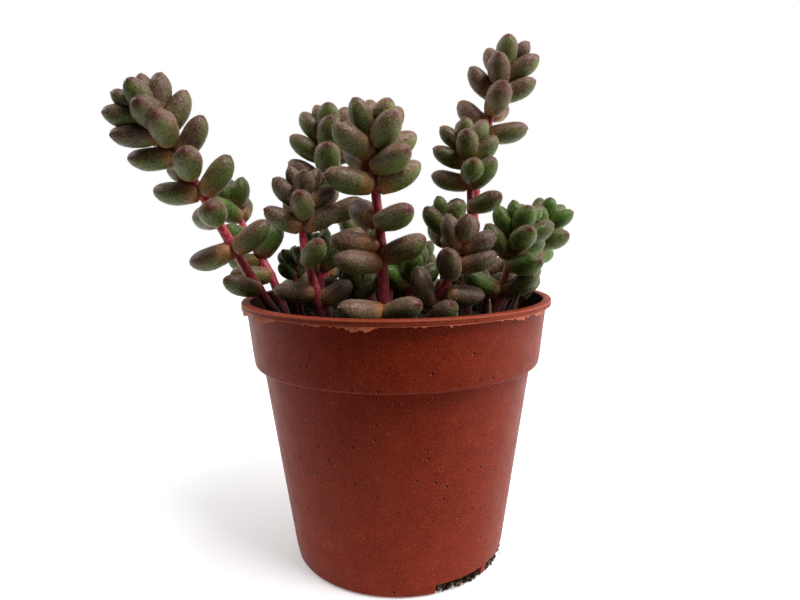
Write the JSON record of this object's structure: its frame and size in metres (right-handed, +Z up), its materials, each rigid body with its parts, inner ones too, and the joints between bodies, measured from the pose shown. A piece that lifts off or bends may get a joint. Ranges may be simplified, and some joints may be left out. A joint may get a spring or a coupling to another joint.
{
  "type": "potted jelly bean plant",
  "caption": "Small thin-walled nursery pot of soil with upright leafy succulent stems standing in it, plump bean-shaped leaves crowded towards each tip.",
  "frame": {"origin": "centre of the flat underside of the pot's floor, on the pot's axis", "axes": "+Z up along the pot's axis, -Y towards the front of the plant, +X to the right seen from the front"},
  "size_m": [0.079, 0.055, 0.0966],
  "materials": {
    "pot": "matt terracotta-coloured moulded plastic, rough moulding flash at the lip",
    "soil": "moist dark peat with pale fibres",
    "leaf": "downy green to purple-brown succulent leaf",
    "stem": "crimson-pink downy stem"
  },
  "bodies": {
    "root": {"pot": "pot", "soil": "soil", "stem_front_tall": "leaf", "stem_front_left": "leaf", "stem_front_right": "leaf", "stem_right": "leaf", "stem_left_tall": "leaf", "stem_left_rear": "leaf", "stem_rear_centre": "leaf", "stem_rear_low": "leaf", "stem_rear_right": "leaf", "stem_rear_tallest": "leaf", "stem_right_rear": "leaf", "sprout_front": "leaf", "sprout_left": "leaf", "sprout_middle": "leaf", "sprout_low_left": "leaf", "sprout_low_right": "leaf", "sprout_right": "leaf", "sprout_right_low": "leaf", "sprout_centre": "leaf", "sprout_back": "leaf", "sprout_back_left": "leaf", "sprout_back_right": "leaf"}
  },
  "joints": []
}
